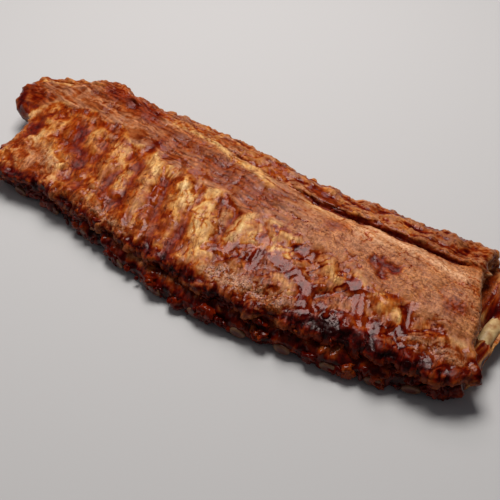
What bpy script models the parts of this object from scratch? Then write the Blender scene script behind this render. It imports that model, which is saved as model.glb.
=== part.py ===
"""A full rack of glazed pork loin back ribs, lying meat side up.

One slab of meat, with twelve rib bones running through it from the cut front edge to the chine edge.
Metres, +Z up. +X runs along the rack towards its last rib, and +Y from the rib tips to the chine edge.
The origin is the centre of the footprint, on the surface that the rack lies on.
"""

import bpy
import bmesh
import numpy as np

# Driving dimensions of the slab.
RACK_START = -0.183  # the first slice's place along X, where it crosses the middle of the rack
RACK_STOP = 0.206  # the last slice's place
SLICE_SLANT = 0.27  # the slices lean back by this much of X for each metre of Y, as the ribs do
FOOTPRINT_CENTRE = (0.0002, 0.0033)  # taken off every point, so that the origin is under the middle
LIP_HEIGHT = 0.028  # the ragged front edge of the top layer
LOIN_HEIGHT = 0.0405  # the loin muscle along the chine side
ARCH_RISE = 0.0095  # the hollow of the bone side, over the surface that the rack lies on

# Plan and height along the rack, as (share of the length, metres).
FRONT_FOOT = ((0, -0.046), (0.15, -0.049), (0.22, -0.055), (0.3, -0.063), (0.39, -0.071), (0.48, -0.0745),
              (0.58, -0.0735), (0.68, -0.069), (0.78, -0.0645), (0.88, -0.056), (0.95, -0.047), (1, -0.040))
FRONT_LIP = ((0, -0.054), (0.06, -0.050), (0.14, -0.049), (0.21, -0.054), (0.3, -0.058), (0.4, -0.062),
             (0.5, -0.067), (0.6, -0.068), (0.7, -0.061), (0.8, -0.055), (0.9, -0.052), (0.96, -0.047),
             (1, -0.036))
BACK_EDGE = ((0, 0.067), (0.05, 0.077), (0.1, 0.0835), (0.15, 0.0845), (0.2, 0.0805), (0.28, 0.0755),
             (0.4, 0.076), (0.5, 0.072), (0.6, 0.066), (0.7, 0.0625), (0.8, 0.065), (0.9, 0.065), (0.96, 0.066),
             (1, 0.070))
# The seam between the loin and the strip of fat and meat behind it: its distance from the back edge, its depth.
SEAM_INSET = ((0, 0.019), (0.25, 0.020), (0.4, 0.024), (0.5, 0.0265), (0.75, 0.026), (1, 0.025))
SEAM_DEPTH = ((0, 0.0), (0.2, 0.0005), (0.4, 0.0015), (0.55, 0.003), (0.62, 0.007), (0.8, 0.008), (0.95, 0.006),
              (1, 0.004))
THICKNESS_SHARE = ((0, 0.78), (0.08, 0.88), (0.25, 0.93), (0.5, 0.97), (0.75, 1.0), (1, 0.96))

# Outline of the two ends, as (place across the rack, how far it stands out along X). The bone side runs on to
# LOWER_END, given as its own place along X, under the slanting end of the meat side.
LEFT_FLAP = ((-0.055, -0.017), (-0.031, -0.0115), (-0.012, -0.0025), (0.010, 0.0015), (0.016, -0.006),
             (0.022, -0.024), (0.034, -0.0305), (0.050, -0.023), (0.062, -0.014), (0.078, 0.0))
RIGHT_CORNERS = ((-0.046, 0.002), (-0.036, 0.010), (-0.026, 0.002), (0.0, 0.0), (0.052, 0.0), (0.066, 0.007))
LOWER_END = ((-0.052, 0.2105), (-0.015, 0.2165), (0.010, 0.2205), (0.040, 0.2215), (0.068, 0.219))
FLAP_REACH = 0.12  # share of the length over which an end's outline fades into the slab
LEFT_UNDERCUT = 0.009  # the meat side overhangs the bone side by this much at the narrow end
LAYER_SPLIT = (0.006, 0.022)  # heights between which the bone side gives way to the meat side
END_ROUNDING = 0.005
END_CORE = (0.018, 0.022)  # how far inside the front and the back the rounded ends draw together

# Ribs. The bulges are those that a rib makes in the meat: at its tip, on the meat side and on the bone side.
RIB_COUNT = 12
RIB_FIRST = -0.167
RIB_PITCH = 0.0351
RIB_FAN = ((0, 0.34), (0.62, 0.34), (0.78, 0.28), (0.9, 0.14), (1, -0.09))  # how far each rib slants
RIB_LAST = 0.2110
RIB_REACH = 0.0095  # half the width of the bulge that a rib makes in the meat
TIP_BULGE = 0.0028
TOP_BULGE = 0.0030
KEEL_BULGE = 0.0022
BONE_WIDTH = 0.0120
BONE_DEPTH = 0.0076
BONE_COVER = 0.0026  # meat between a bone and the bone side of the slab
BONE_PROUD = 0.0008  # the meat has shrunk back from the rib tips by this much
CHINE_INSET = 0.0028  # and this much from the face of the chine edge
FIT_GAP = 0.0003

# How finely the shapes are cut.
SLICES = 56
POINTS_PER_GAP = 2
BONE_SIDES = 8
BONE_RINGS = 9


def follow(stops, at):
    """A smooth curve through (position, value) stops, level beyond the first and the last."""
    places, values = np.array(stops, float).T
    slopes = np.gradient(values, places)
    at = np.clip(at, places[0], places[-1])
    gap = np.clip(np.searchsorted(places, at) - 1, 0, len(places) - 2)
    width = places[gap + 1] - places[gap]
    s = (at - places[gap]) / width
    return (values[gap] * (1 + 2 * s) * (1 - s) ** 2 + slopes[gap] * width * s * (1 - s) ** 2
            + values[gap + 1] * s ** 2 * (3 - 2 * s) + slopes[gap + 1] * width * s ** 2 * (s - 1))


def step_up(low, high, value):
    """0 up to low, 1 from high on, and an even S between them."""
    s = np.clip((value - low) / (high - low), 0, 1)
    return s * s * (3 - 2 * s)


def smooth_loop(corners, per_gap):
    """A closed curve through each row's corners, from the centripetal Catmull-Rom formula."""
    before, after, beyond = (np.roll(corners, shift, axis=1) for shift in (1, -1, -2))
    knots = [np.zeros(corners.shape[:2])]
    for here, there in ((before, corners), (corners, after), (after, beyond)):
        chord = np.linalg.norm(there[..., :2] - here[..., :2], axis=-1)
        knots.append(knots[-1] + np.sqrt(np.maximum(chord, 1e-6)))
    k0, k1, k2, k3 = (knot[..., None] for knot in knots)
    rows = []
    for share in np.arange(per_gap) / per_gap:
        k = k1 + (k2 - k1) * share
        a = ((k1 - k) * before + (k - k0) * corners) / (k1 - k0)
        b = ((k2 - k) * corners + (k - k1) * after) / (k2 - k1)
        c = ((k3 - k) * after + (k - k2) * beyond) / (k3 - k2)
        ab = ((k2 - k) * a + (k - k0) * b) / (k2 - k0)
        bc = ((k3 - k) * b + (k - k1) * c) / (k3 - k1)
        rows.append(((k2 - k) * ab + (k - k1) * bc) / (k2 - k1))
    return np.stack(rows, axis=2).reshape(len(corners), -1, corners.shape[2])


def rib_lines():
    """Each rib's place where it crosses the middle of the rack, and its slant."""
    places = RIB_FIRST + RIB_PITCH * np.arange(RIB_COUNT)
    places[-2:] = (places[-3] + RIB_LAST) / 2, RIB_LAST
    return places, follow(RIB_FAN, np.linspace(0, 1, RIB_COUNT))


def rib_wave(x, y):
    """1 over the middle of each rib and 0 halfway between two of them."""
    places, slants = rib_lines()
    away = (x[..., None] - (places - slants * y[..., None])) / RIB_REACH
    return np.exp(-(away ** 2)).max(axis=-1)


def slice_corners(t):
    """The corner points of each slice: y, z, and how far the ribs push it at the tips, the top and the keel."""
    foot, lip, back = (follow(stops, t) for stops in (FRONT_FOOT, FRONT_LIP, BACK_EDGE))
    seam = back - follow(SEAM_INSET, t)
    deep = follow(SEAM_DEPTH, t)
    share = follow(THICKNESS_SHARE, t)
    lip_z, loin_z = LIP_HEIGHT * share, LOIN_HEIGHT * share
    nothing = np.zeros_like(t)
    rise = ARCH_RISE
    recess = np.maximum(foot, lip) + 0.004
    corners = (
        # front foot, rib tips, recess and ragged lip
        (foot + 0.017, nothing, 0, 0, 0),
        (foot + 0.004, nothing, 0.5, 0, 0),
        (foot, 0.005, 1, 0, 0),
        (foot + 0.001, 0.0115, 1, 0, 0),
        (recess, 0.0165 * share, 0.3, 0, 0),
        (lip + 0.002, lip_z - 0.0065, 0, 0, 0),
        (lip, lip_z - 0.0025, 0, 0.3, 0),
        (lip + 0.006, lip_z + 0.0010, 0, 0.8, 0),
        # rib field, rising to the loin
        (lip + 0.024, lip_z + 0.0035, 0, 1, 0),
        (0.55 * lip + 0.45 * seam, 0.45 * lip_z + 0.55 * loin_z, 0, 0.9, 0),
        (seam - 0.024, loin_z - 0.0015, 0, 0.2, 0),
        (seam - 0.008, loin_z, 0, 0, 0),
        # seam and back strip
        (seam, loin_z - deep, 0, 0, 0),
        (seam + 0.006, loin_z - 0.0005 - 0.1 * deep, 0, 0, 0),
        (back - 0.008, loin_z - 0.0055, 0, 0, 0),
        (back - 0.001, 0.55 * loin_z, 0, 0, 0),
        (back, 0.28 * loin_z, 0, 0, 0),
        (back - 0.004, 0.003, 0, 0, 0),
        # back foot and the arch of the bone side
        (back - 0.007, nothing, 0, 0, 0),
        (back - 0.022, nothing, 0, 0, 0),
        (0.75 * back + 0.25 * foot - 0.004, 0.75 * rise, 0, 0, 0.8),
        (0.5 * back + 0.5 * foot, rise, 0, 0, 1),
        (0.25 * back + 0.75 * foot + 0.004, 0.75 * rise, 0, 0, 0.8),
    )
    return np.stack([np.stack([value + nothing for value in corner], -1) for corner in corners], 1)


def slab_points():
    """Every point of the slab, one row for each slice, drawn in and rounded over at both ends."""
    t_round = END_ROUNDING / (RACK_STOP - RACK_START)
    inner = np.linspace(t_round, 1 - t_round, SLICES)
    t = np.concatenate([[0, 0.3 * t_round], inner, [1 - 0.3 * t_round, 1]])
    loops = smooth_loop(slice_corners(t), POINTS_PER_GAP)
    y, z = loops[..., 0], np.maximum(loops[..., 1], 0)
    ends = np.minimum(t, 1 - t) / t_round
    inset = END_ROUNDING * (1 - np.sqrt(np.clip(1 - (1 - np.minimum(ends, 1)) ** 2, 0, 1)))[:, None]
    core_y = np.clip(y, y.min(1, keepdims=True) + END_CORE[0], y.max(1, keepdims=True) - END_CORE[1])
    to_core = np.stack([core_y - y, 0.4 * z.max(1, keepdims=True) - z], -1)
    to_core /= np.linalg.norm(to_core, axis=-1, keepdims=True)
    y, z = y + to_core[..., 0] * inset, z + to_core[..., 1] * inset

    x = RACK_START + (RACK_STOP - RACK_START) * t[:, None] - SLICE_SLANT * y
    near_left = np.clip(1 - t / FLAP_REACH, 0, 1)[:, None] ** 2
    near_right = np.clip(1 - (1 - t) / FLAP_REACH, 0, 1)[:, None] ** 2
    low = 1 - step_up(*LAYER_SPLIT, z)
    x += near_left * (follow(LEFT_FLAP, y) + LEFT_UNDERCUT * low)
    x += near_right * (1 - low) * follow(RIGHT_CORNERS, y)
    x += near_right * low * (follow(LOWER_END, y) - (RACK_STOP - SLICE_SLANT * y))

    wave = rib_wave(x, y)
    tip, top, keel = np.moveaxis(np.clip(loops[..., 2:], 0, 1), -1, 0)
    y = y - TIP_BULGE * wave * tip
    z = z + (TOP_BULGE * top - KEEL_BULGE * keel) * wave
    return np.stack([x - FOOTPRINT_CENTRE[0], y - FOOTPRINT_CENTRE[1], z], -1)


def edge_at(stops, t, lean):
    """Where a line that leans against the slices meets an edge of the rack, and how the edge slopes there."""
    t = t - lean * follow(stops, t)
    step = 0.01
    slope = (follow(stops, t + step) - follow(stops, t - step)) / (2 * step * (RACK_STOP - RACK_START))
    return follow(stops, t), slope


def bone_rings(index, grow=0.0, reach=0.0):
    """Oval rings along one rib, from its tip to the chine, its ends cut along the edges of the rack.

    grow widens them and reach lengthens both ends.
    """
    places, slants = rib_lines()
    place, slant = places[index], slants[index]
    t = (place - RACK_START) / (RACK_STOP - RACK_START)
    lean = (slant - SLICE_SLANT) / (RACK_STOP - RACK_START)
    front, front_slope = edge_at(FRONT_FOOT, t, lean)
    back, back_slope = edge_at(BACK_EDGE, t, lean)
    rounded_off = END_ROUNDING * step_up(0.95, 1, t)
    front += rounded_off - TIP_BULGE - BONE_PROUD
    back -= rounded_off + CHINE_INSET
    along = np.linspace(0, 1, BONE_RINGS)
    y = front + (back - front) * along
    y[0] -= reach
    y[-1] += reach
    slope = front_slope + (back_slope - front_slope) * along
    arch = ARCH_RISE * np.sin(np.pi * np.clip((along - 0.1) / 0.8, 0, 1)) ** 0.7
    z = BONE_COVER + BONE_DEPTH / 2 + np.maximum(arch - KEEL_BULGE, 0)
    wide = BONE_WIDTH / 2 * (1 - 0.18 * along) + grow
    deep = BONE_DEPTH / 2 * (1 - 0.06 * np.sin(np.pi * along)) + grow
    angle = 2 * np.pi * (np.arange(BONE_SIDES) + 0.5) / BONE_SIDES
    aside = wide[:, None] * np.cos(angle)
    ring_x = (place - slant * y)[:, None] + aside
    ring_y = y[:, None] + slope[:, None] * aside
    ring_z = z[:, None] + deep[:, None] * np.sin(angle)
    return np.stack([ring_x - FOOTPRINT_CENTRE[0], ring_y - FOOTPRINT_CENTRE[1], ring_z], -1)


def lofted(name, ring_sets):
    """One mesh object from one or more sets of rings, each bridged ring to ring and capped at both ends."""
    shape = bmesh.new()
    for rings in ring_sets:
        rows = [[shape.verts.new(point) for point in ring] for ring in rings]
        for row, following in zip(rows, rows[1:]):
            for k in range(len(row)):
                shape.faces.new((row[k - 1], row[k], following[k], following[k - 1]))
        shape.faces.new(rows[0])
        shape.faces.new(reversed(rows[-1]))
    bmesh.ops.recalc_face_normals(shape, faces=shape.faces)
    bmesh.ops.triangulate(shape, faces=shape.faces)
    mesh = bpy.data.meshes.new(name)
    shape.to_mesh(mesh)
    shape.free()
    mesh.shade_smooth()
    made = bpy.data.objects.new(name, mesh)
    bpy.context.scene.collection.objects.link(made)
    return made


def finish(name, colour, roughness):
    """A plain food finish: a colour and how dull it is."""
    material = bpy.data.materials.new(name)
    material.use_nodes = True
    shader = material.node_tree.nodes["Principled BSDF"]
    shader.inputs["Base Color"].default_value = (*colour, 1)
    shader.inputs["Roughness"].default_value = roughness
    shader.inputs["Metallic"].default_value = 0.0
    return material


def make_meat():
    """The slab, with a channel cut through it for each bone."""
    meat = lofted("meat", [slab_points()])
    meat.data.materials.append(finish("glazed_meat", (0.30, 0.085, 0.028), 0.3))
    channels = lofted("bone_channels", [bone_rings(k, grow=FIT_GAP, reach=0.012) for k in range(RIB_COUNT)])
    channels.hide_render = True
    channels.display_type = "WIRE"
    cut = meat.modifiers.new("bone channels", "BOOLEAN")
    cut.operation = "DIFFERENCE"
    cut.solver = "EXACT"
    cut.object = channels


def make_bones():
    """The twelve ribs, each its own bone."""
    ivory = finish("rib_bone", (0.62, 0.47, 0.28), 0.45)
    for index in range(RIB_COUNT):
        bone = lofted(f"rib_{index + 1:02d}", [bone_rings(index)])
        bone.data.materials.append(ivory)


for old in list(bpy.data.objects):
    bpy.data.objects.remove(old)
make_meat()
make_bones()
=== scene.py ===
"""A full rack of glazed pork loin back ribs, dressed for the studio, lying meat side up.

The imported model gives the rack's length, and the finished pieces are scaled to it. They follow one another
as the rack is built up: the meat side with its loin, rib field and ragged lip, the bone side with its rib
tips and membrane, the bones, and the scraps of meat and sauce that cling to the front.
"""
import math
from types import SimpleNamespace

import bpy
import numpy as np
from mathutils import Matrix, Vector


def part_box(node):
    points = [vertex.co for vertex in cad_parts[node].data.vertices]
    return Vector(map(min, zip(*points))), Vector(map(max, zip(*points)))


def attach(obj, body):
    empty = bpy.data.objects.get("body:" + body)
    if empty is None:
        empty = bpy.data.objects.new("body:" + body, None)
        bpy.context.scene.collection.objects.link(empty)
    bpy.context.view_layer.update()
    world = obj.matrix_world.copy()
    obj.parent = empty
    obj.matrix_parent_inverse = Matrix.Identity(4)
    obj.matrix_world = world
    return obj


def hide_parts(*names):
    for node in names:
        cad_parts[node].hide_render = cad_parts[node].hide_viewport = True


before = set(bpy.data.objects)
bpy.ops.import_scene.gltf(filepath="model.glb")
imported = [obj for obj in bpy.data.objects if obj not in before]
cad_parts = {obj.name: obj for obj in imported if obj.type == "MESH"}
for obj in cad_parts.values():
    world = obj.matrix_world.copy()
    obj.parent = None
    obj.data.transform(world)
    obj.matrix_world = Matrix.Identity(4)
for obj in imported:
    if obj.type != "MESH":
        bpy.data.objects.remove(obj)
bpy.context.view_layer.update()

# ---- The studio ----------------------------------------------------------------------------------------
# A plain pale floor, a broad soft light behind the rack with a smaller warm card below it, whose
# reflections lie on the glaze, and two weak fills. The camera looks down on the rack from its front corner.
CAMERA_TARGET = Vector((0.0318, -0.0033, 0.0))
CAMERA_DISTANCE = 0.6156
CAMERA_AZIMUTH = 33
CAMERA_PITCH = 45
FLOOR_HALF = 3
FLOOR_GREY = (0.55, 0.54, 0.53, 1)
AIR_BLUE = (0.85, 0.88, 1.0, 1)


def around(azimuth, pitch, distance):
    """A point at a distance from the camera's target: azimuth 0 is in front of the rack, pitch is upwards."""
    azimuth, pitch = math.radians(azimuth), math.radians(pitch)
    level, height = math.cos(pitch) * distance, math.sin(pitch) * distance
    return CAMERA_TARGET + Vector((math.sin(azimuth) * level, -math.cos(azimuth) * level, height))


def put_up(name, data, azimuth, pitch, distance):
    """A lamp or a camera on its stand, turned to face the camera's target."""
    stand = bpy.data.objects.new(name, data)
    stand.location = around(azimuth, pitch, distance)
    stand.rotation_euler = (CAMERA_TARGET - stand.location).to_track_quat("-Z", "Y").to_euler()
    bpy.context.scene.collection.objects.link(stand)
    return stand


def softbox(name, azimuth, pitch, distance, width, height, power, colour):
    """A rectangular light that faces the rack."""
    lamp = bpy.data.lights.new(name, "AREA")
    lamp.shape = "RECTANGLE"
    lamp.size = width
    lamp.size_y = height
    lamp.energy = power
    lamp.color = colour
    put_up(name, lamp, azimuth, pitch, distance)


lens = bpy.data.cameras.new("camera")
lens.lens = 60
lens.sensor_width = 36
bpy.context.scene.camera = put_up("camera", lens, CAMERA_AZIMUTH, CAMERA_PITCH, CAMERA_DISTANCE)

softbox("key softbox", 218, 68, 1.2, 0.62, 0.50, 14, (1.0, 0.98, 0.96))
softbox("back card", 214, 46, 1.3, 0.40, 0.32, 2.0, (1.0, 0.87, 0.91))
softbox("left fill", 290, 35, 1.4, 0.8, 0.8, 0.8, (1.0, 0.97, 0.94))
softbox("front fill", 60, 60, 1.5, 1.0, 1.0, 0.25, (1.0, 0.92, 0.86))

world = bpy.data.worlds.new("studio air")
world.use_nodes = True
world.node_tree.nodes["Background"].inputs["Color"].default_value = AIR_BLUE
world.node_tree.nodes["Background"].inputs["Strength"].default_value = 0.08
bpy.context.scene.world = world
bpy.context.scene.view_settings.view_transform = "Standard"

floor_mesh = bpy.data.meshes.new("floor")
floor_corners = [(x * FLOOR_HALF, y * FLOOR_HALF, 0) for x, y in ((-1, -1), (1, -1), (1, 1), (-1, 1))]
floor_mesh.from_pydata(floor_corners, [], [(0, 1, 2, 3)])
floor = bpy.data.objects.new("floor", floor_mesh)
bpy.context.scene.collection.objects.link(floor)
floor_paint = bpy.data.materials.new("pale floor")
floor_paint.use_nodes = True
floor_paint.node_tree.nodes["Principled BSDF"].inputs["Base Color"].default_value = FLOOR_GREY
floor_paint.node_tree.nodes["Principled BSDF"].inputs["Roughness"].default_value = 0.8
floor_mesh.materials.append(floor_paint)

# ---- The meat side -------------------------------------------------------------------------------------
# The thick top layer: the loin along the back, the rib field in front of it with a ridge of meat and fat over
# each rib, the strip behind the seam, and the ragged lip that overhangs the rib tips. It is one browned slab.

# Every size is that of a rack of this length, in metres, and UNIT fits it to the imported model's.
RACK_LENGTH = 0.4466
UNIT = (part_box("meat")[1].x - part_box("meat")[0].x) / RACK_LENGTH
MM = 0.001
# The rack's form. A slice's place t runs from 0 at the narrow left end to 1 at the wide right end, and each
# slice leans along X by SLICE_SLANT times its Y. The outlines give Y for each t.
CENTRE = (0.0002, 0.0033)
SLICE_SLANT = 0.27
START = -0.183
STOP = 0.206
FRONT_FOOT = ((0, -0.046), (0.15, -0.049), (0.22, -0.055), (0.3, -0.063), (0.39, -0.071), (0.48, -0.0745),
              (0.58, -0.0735), (0.68, -0.069), (0.78, -0.0645), (0.88, -0.056), (0.95, -0.047), (1, -0.040))
FRONT_LIP = ((0, -0.054), (0.06, -0.050), (0.14, -0.049), (0.21, -0.054), (0.3, -0.058), (0.4, -0.062),
             (0.5, -0.067), (0.6, -0.068), (0.7, -0.061), (0.8, -0.055), (0.9, -0.052), (0.96, -0.047),
             (1, -0.036))
BACK_EDGE = ((0, 0.067), (0.05, 0.077), (0.1, 0.0835), (0.15, 0.0845), (0.2, 0.0805), (0.28, 0.0755),
             (0.4, 0.076), (0.5, 0.072), (0.6, 0.066), (0.7, 0.0625), (0.8, 0.065), (0.9, 0.065),
             (0.96, 0.066), (1, 0.070))
SEAM_INSET = ((0, 0.019), (0.25, 0.020), (0.4, 0.024), (0.5, 0.0275), (0.75, 0.0285), (0.9, 0.030),
              (1, 0.031))
SEAM_DEPTH = ((0, 0.0), (0.2, 0.0003), (0.4, 0.0004), (0.61, 0.0006), (0.67, 0.0030), (0.72, 0.0042),
              (0.84, 0.0040), (0.95, 0.0028), (1, 0.0012))
THICKNESS = ((0, 0.78), (0.08, 0.88), (0.25, 0.93), (0.5, 0.97), (0.75, 1.0), (1, 0.96))
LIP_HEIGHT = 0.028
LOIN_HEIGHT = 0.0405
ARCH_RISE = 0.0095
END_ROUNDING = 0.005
# How far the ends reach along X beyond their slice, for each Y, and how far into the rack that is felt.
LEFT_FLAP = ((-0.055, -0.017), (-0.031, -0.0125), (-0.012, -0.0065), (0.004, -0.0058), (0.010, -0.0075),
             (0.0145, -0.0190), (0.019, -0.0275), (0.026, -0.0300), (0.034, -0.0305), (0.050, -0.023),
             (0.062, -0.014), (0.078, 0.0))
RIGHT_CORNERS = ((-0.046, 0.002), (-0.036, 0.010), (-0.026, 0.002), (0.0, 0.0), (0.052, 0.0),
                 (0.066, 0.007))
FLAP_REACH = 0.12
FLAP_FOLD_Y = 0.017
FLAP_FOLD_REACH = 0.009
FLAP_FOLD_DROP = 0.006
# The ribs cross Y = 0 at these X. Their lines lean by a slant that changes from the first rib to the last.
RIB_PLACES = np.concatenate([-0.167 + 0.0351 * np.arange(10), [0.17995, 0.2110]])
RIB_FAN = ((0, 0.34), (0.62, 0.34), (0.78, 0.28), (0.9, 0.14), (1, -0.09))
RIB_REACH = 0.0095
# Where the loin gives way to the rib field, as (X, Y) in mm, from the narrow end to the wide end.
LOIN_EDGE = ((-215, 12), (-190, 22), (-165, 30), (-130, 30), (-105, 24), (-80, 17), (-55, 13), (-30, 10),
             (-8, 5), (20, 1), (45, -3), (70, -7), (100, -9), (130, -13), (160, -18), (200, -25))
# How finely the layers are made: slices along the rack, rings in each rounded edge, and rings in each end
# face, which draw together to a small share of the slice.
MEAT_SLICES = 452
EDGE_RINGS = 6
FACE_RINGS = 11
FACE_CORE = 0.10
# The noise has this many slopes, and these primes mix a corner's whole coordinates to pick one.
NOISE_SLOPES = 4096
CELL_MIXERS = (73856093, 19349663, 83492791)


def follow(stops, at):
    """A smooth curve through (position, value) stops, level beyond the first and the last.

    Between two stops it is a cubic, and its slope at a stop is the mean slope of the stretches beside it.
    """
    places, values = np.array(stops, float).T
    slopes = np.gradient(values, places)
    at = np.clip(at, places[0], places[-1])
    gap = np.clip(np.searchsorted(places, at) - 1, 0, len(places) - 2)
    width = places[gap + 1] - places[gap]
    s = (at - places[gap]) / width
    return (values[gap] * (1 + 2 * s) * (1 - s) ** 2 + slopes[gap] * width * s * (1 - s) ** 2
            + values[gap + 1] * s ** 2 * (3 - 2 * s) + slopes[gap + 1] * width * s ** 2 * (s - 1))


def step_up(low, high, value):
    """0 up to low, 1 from high on, and an even S between them. It steps down where low is above high."""
    s = np.clip((value - low) / (high - low), 0, 1)
    return s * s * (3 - 2 * s)


def hump(away, reach, power=2):
    """1 where away is 0, falling off to both sides by exp(-(away / reach)^power)."""
    return np.exp(-((away / reach) ** power))


def noise(points, seed):
    """Smooth noise from about -1 to 1, another for each seed.

    Each corner of a point's unit cell has a random slope, and the eight slopes' heights at the point are
    blended by an S-curve.
    """
    slopes = np.random.default_rng(seed).normal(size=(NOISE_SLOPES, 3))
    cell = np.floor(points).astype(np.int64)
    inside = points - cell
    fade = inside ** 3 * (inside * (inside * 6 - 15) + 10)
    total = np.zeros(points.shape[:-1])
    for corner in np.ndindex(2, 2, 2):
        at = cell + corner
        pick = np.bitwise_xor.reduce(at * CELL_MIXERS, axis=-1) % NOISE_SLOPES
        weight = np.prod(np.where(corner, fade, 1 - fade), axis=-1)
        total += weight * np.einsum("...k,...k->...", slopes[pick], inside - corner)
    return total


def layered(points, seed, layers=4, fall=0.5):
    """Noise added up in layers, each twice as fine and fall times as strong as the one before."""
    return sum(noise(points * 2.0 ** k, seed + k) * fall ** k for k in range(layers))


def creased(points, seed, layers=3, fall=0.5):
    """Rounded swellings with sharp creases between them: the noise's size, in layers, from 0 to about 1."""
    return sum(np.abs(noise(points * 2.0 ** k, seed + k)) * fall ** k for k in range(layers))


def smooth_loop(corners, counts):
    """A closed smooth curve through each row's corners, with so many points from each corner to the next.

    It is a centripetal Catmull-Rom curve: from one corner to the next the curve's time grows by the root of
    their distance, and each point is blended in three rounds from the four corners around it.
    """
    gap = np.repeat(np.arange(len(counts)), counts)
    share = np.concatenate([np.arange(count) / count for count in counts])[None, :]
    number = corners.shape[1]
    spots = [corners[:, (gap + shift) % number] for shift in (-1, 0, 1, 2)]
    knots = [np.zeros(spots[0].shape[:2])]
    for here, there in zip(spots, spots[1:]):
        chord = np.linalg.norm(there[..., :2] - here[..., :2], axis=-1)
        knots.append(knots[-1] + np.sqrt(np.maximum(chord, 1e-6)))
    k = knots[1] + (knots[2] - knots[1]) * share

    def between(first, last, begin, end):
        return ((end - k)[..., None] * first + (k - begin)[..., None] * last) / (end - begin)[..., None]

    before, middle, after = (between(spots[i], spots[i + 1], knots[i], knots[i + 1]) for i in range(3))
    early = between(before, middle, knots[0], knots[2])
    late = between(middle, after, knots[1], knots[3])
    return between(early, late, knots[1], knots[2])


def loops_through(corners, t):
    """Smooth loops through corners of (y, z, how far seen), with so many points from each to the next."""
    none = np.zeros_like(t)
    spots = np.stack([np.stack([value + none for value in spot], -1) for spot, _ in corners], 1)
    return smooth_loop(spots, [count for _, count in corners])


def outlines(t):
    """Y of the rack's foot, lip, back and seam in each slice, and the slice's share of the full thickness."""
    foot, lip, back = (follow(stops, t) for stops in (FRONT_FOOT, FRONT_LIP, BACK_EDGE))
    return foot, lip, back, back - follow(SEAM_INSET, t), follow(THICKNESS, t)


def slice_rows(slices):
    """The slices' places along the rack, and how far each is drawn together into the closed ends."""
    face = np.linspace(1, FACE_CORE, FACE_RINGS + 1)[1:]
    rounded = END_ROUNDING / (STOP - START)
    edge = rounded * (1 - np.cos(np.linspace(0, np.pi / 2, EDGE_RINGS + 1)))[:-1]
    body = np.linspace(rounded, 1 - rounded, slices)
    t = np.concatenate([np.zeros(FACE_RINGS), edge, body, 1 - edge[::-1], np.ones(FACE_RINGS)])
    shrink = np.concatenate([face[::-1], np.ones(len(t) - 2 * FACE_RINGS), face])
    return t, shrink


def drawn_in(loops, t, shrink, core_in):
    """The slices' y and z, rounded over towards the ends and shrunk to a line inside them in the end faces.

    The edge is a quarter circle: the inset is its radius times 1 - sqrt(1 - (1 - share of the way in)^2),
    and at most 0.6 of the way to the line. The line runs level, from core_in[0] behind the front to
    core_in[1] before the back.
    """
    y, z = loops[..., 0], loops[..., 1]
    core_y = np.clip(y, y.min(1, keepdims=True) + core_in[0], y.max(1, keepdims=True) - core_in[1])
    core_z = 0.5 * (z.max(1, keepdims=True) + z.min(1, keepdims=True))
    to_core = np.stack([core_y - y, core_z - z], -1)
    far = np.linalg.norm(to_core, axis=-1)
    to_core /= np.maximum(far, 1e-6)[..., None]
    ends = np.minimum(np.minimum(t, 1 - t) * (STOP - START) / END_ROUNDING, 1)
    inset = END_ROUNDING * (1 - np.sqrt(np.clip(1 - (1 - ends) ** 2, 0, 1)))[:, None]
    inset = np.minimum(inset, 0.6 * far)
    y, z = y + to_core[..., 0] * inset, z + to_core[..., 1] * inset
    share = shrink[:, None]
    return core_y + (y - core_y) * share, core_z + (z - core_z) * share


def near_ends(t):
    """How near each slice is to the left and to the right end: a square that falls from 1 at the end to 0."""
    return (np.clip(1 - away / FLAP_REACH, 0, 1)[:, None] ** 2 for away in (t, 1 - t))


def aside_of_rib(x, y):
    """How far aside of the nearest rib's line each point lies, in metres of X."""
    slants = follow(RIB_FAN, np.linspace(0, 1, len(RIB_PLACES)))
    away = x[..., None] - (RIB_PLACES - slants * y[..., None])
    nearest = np.abs(away).argmin(axis=-1)
    return np.take_along_axis(away, nearest[..., None], axis=-1)[..., 0]


def ring_normals(points):
    """The outward directions of a grid of rings: one way along the rack crossed with the other way round."""
    along = np.gradient(points, axis=0)
    round_ = np.roll(points, -1, axis=1) - np.roll(points, 1, axis=1)
    out = np.cross(along, round_)
    length = np.linalg.norm(out, axis=-1, keepdims=True)
    return out / np.maximum(length, 1e-12)


def surface(x, y, z, outside):
    """What the finish needs to know of each point.

    It is where the point lies, in m and in mm, which way it faces, whether it is outside or hidden in the
    food, and how near it is to a rib.
    """
    base = np.stack([x - CENTRE[0], y - CENTRE[1], z], -1)
    mm = base * 1000
    aside = aside_of_rib(x, y)
    return SimpleNamespace(
        base=base, mm=mm, x=mm[..., 0], y=mm[..., 1], height=mm[..., 2],
        out=ring_normals(base), outside=outside, aside=aside, over_rib=hump(aside, RIB_REACH))


def soften(field, reach):
    """A field on the grid of rings, averaged twice over the points within reach, wrapping round the ring.

    The mean over a window is the difference of two running sums, divided by the window's width.
    """
    for axis, mode in ((0, "edge"), (1, "wrap")) * 2:
        pad = [(0, 0)] * field.ndim
        pad[axis] = (reach + 1, reach)
        total = np.cumsum(np.pad(field, pad, mode=mode), axis=axis)
        width = 2 * reach + 1
        high = np.take(total, np.arange(width, total.shape[axis]), axis=axis)
        low = np.take(total, np.arange(0, total.shape[axis] - width), axis=axis)
        field = (high - low) / width
    return field


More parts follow.
